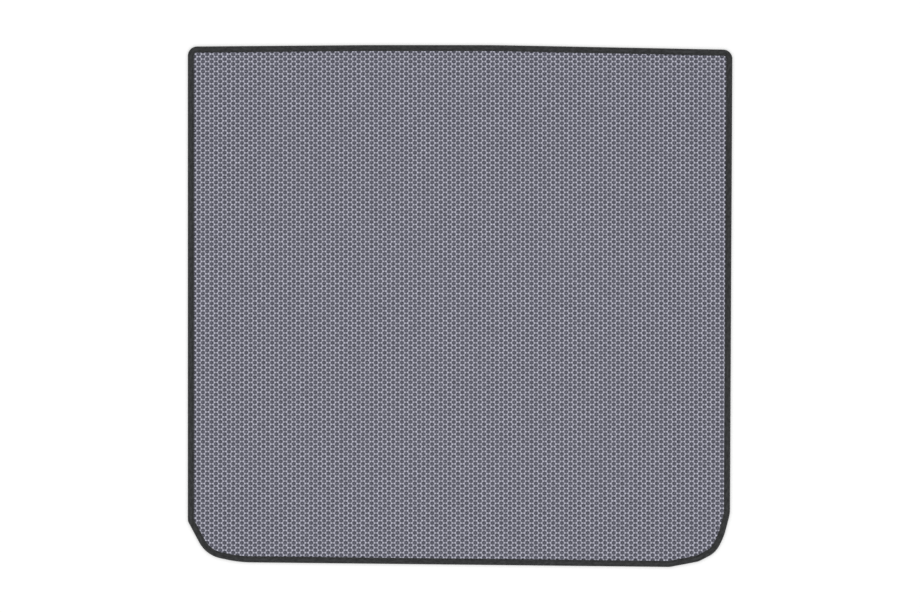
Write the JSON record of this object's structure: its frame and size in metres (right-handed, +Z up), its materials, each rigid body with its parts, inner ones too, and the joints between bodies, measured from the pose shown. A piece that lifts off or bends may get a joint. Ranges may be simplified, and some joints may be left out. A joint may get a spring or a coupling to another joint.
{
  "type": "car boot liner",
  "caption": "Flat foam boot mat with a honeycomb of open cells on top and a folded woven tape sewn round its edge.",
  "frame": {"origin": "on the surface that the liner lies on, under the middle of its outline", "axes": "+X across the car, to the right when seen from above with the tailgate edge nearest; +Y towards the edge against the rear seats; +Z up, out of the open cells"},
  "size_m": [1.1036, 1.0578, 0.0104],
  "materials": {
    "cell_foam": "matte closed-cell foam, blue-grey",
    "binding_tape": "woven synthetic tape, charcoal, matte",
    "seam_thread": "twisted sewing thread, charcoal, slight sheen"
  },
  "bodies": {
    "root": {"cell_sheet": "cell_foam", "edge_binding": "binding_tape", "needle_thread": "seam_thread", "bobbin_thread": "seam_thread"}
  },
  "joints": []
}
